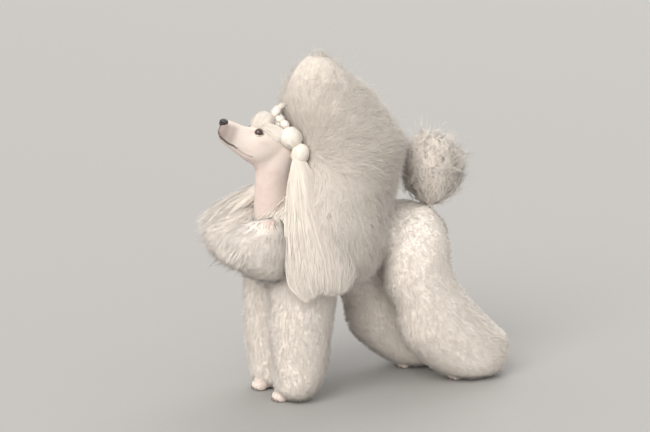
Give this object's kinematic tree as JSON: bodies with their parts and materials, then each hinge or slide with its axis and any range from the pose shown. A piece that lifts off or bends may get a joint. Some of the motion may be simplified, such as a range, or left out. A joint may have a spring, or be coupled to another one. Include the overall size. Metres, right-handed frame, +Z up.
{
  "type": "standard poodle",
  "caption": "Standing show-trimmed poodle with its head raised, a tall teased mane and topknot, fringed ears, full leg coats and a pompon on its tail.",
  "frame": {"origin": "middle of the dog's outline seen from above, at the level of the floor under its paws", "axes": "+Z up; the dog faces -Y and its left side is towards +X"},
  "size_m": [0.455, 0.9726, 1.1142],
  "materials": {
    "coat": "soft white coat, slightly warm",
    "clipped_coat": "short clipped white hair with pink skin showing through",
    "nose": "black, damp",
    "eye": "dark brown, wet",
    "collar": "bright silver chain"
  },
  "bodies": {
    "root": {"head": "clipped_coat", "neck": "clipped_coat", "tail": "clipped_coat", "paw_fore_left": "clipped_coat", "paw_fore_right": "clipped_coat", "paw_hind_left": "clipped_coat", "paw_hind_right": "clipped_coat", "torso": "coat", "mane": "coat", "chest_left": "coat", "chest_right": "coat", "foreleg_left": "coat", "foreleg_right": "coat", "hindleg_left": "coat", "hindleg_right": "coat", "pompon": "coat", "ear_left": "coat", "ear_right": "coat", "puff_left": "coat", "puff_right": "coat", "topknot_front": "coat", "topknot_spray": "coat", "topknot_crown": "coat", "nose": "nose", "eye_left": "eye", "eye_right": "eye", "collar": "collar"}
  },
  "joints": []
}
